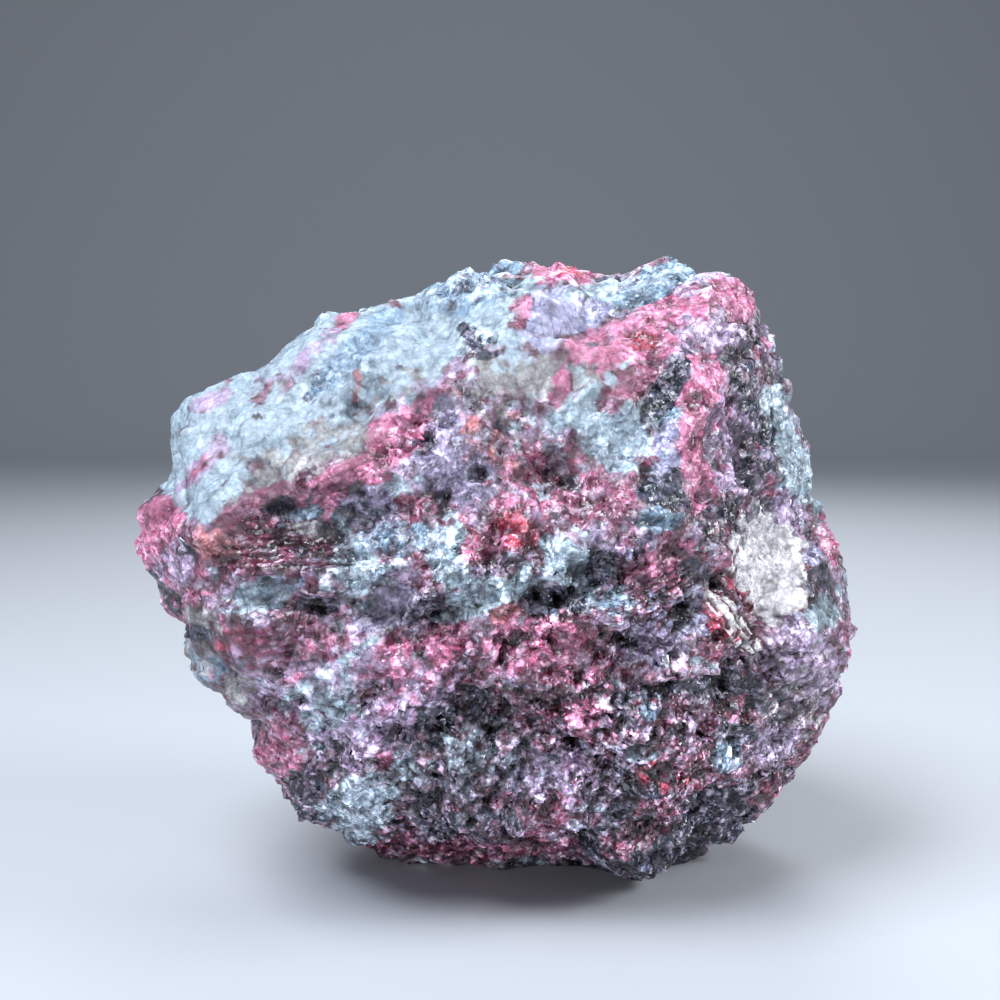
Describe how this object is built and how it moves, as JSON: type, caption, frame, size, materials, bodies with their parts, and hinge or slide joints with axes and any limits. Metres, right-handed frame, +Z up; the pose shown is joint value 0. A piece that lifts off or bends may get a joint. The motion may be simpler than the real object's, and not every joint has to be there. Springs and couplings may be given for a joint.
{
  "type": "rough rhodonite",
  "caption": "Fist-sized lump of broken rock with flat fracture faces, ledges, hollows and lumps, in pink rhodonite, white quartz and black manganese oxide.",
  "frame": {"origin": "middle of the box, at the base, where the stone rests", "axes": "+X to the viewer's right along the stone's width, -Y towards the viewer of its front, +Z up"},
  "size_m": [0.0902, 0.0678, 0.0783],
  "materials": {
    "stone": "broken crystalline rock: rose pink and red grains with white quartz and black veins, part glassy, part dull"
  },
  "bodies": {
    "root": {"rhodonite_stone": "stone"}
  },
  "joints": []
}
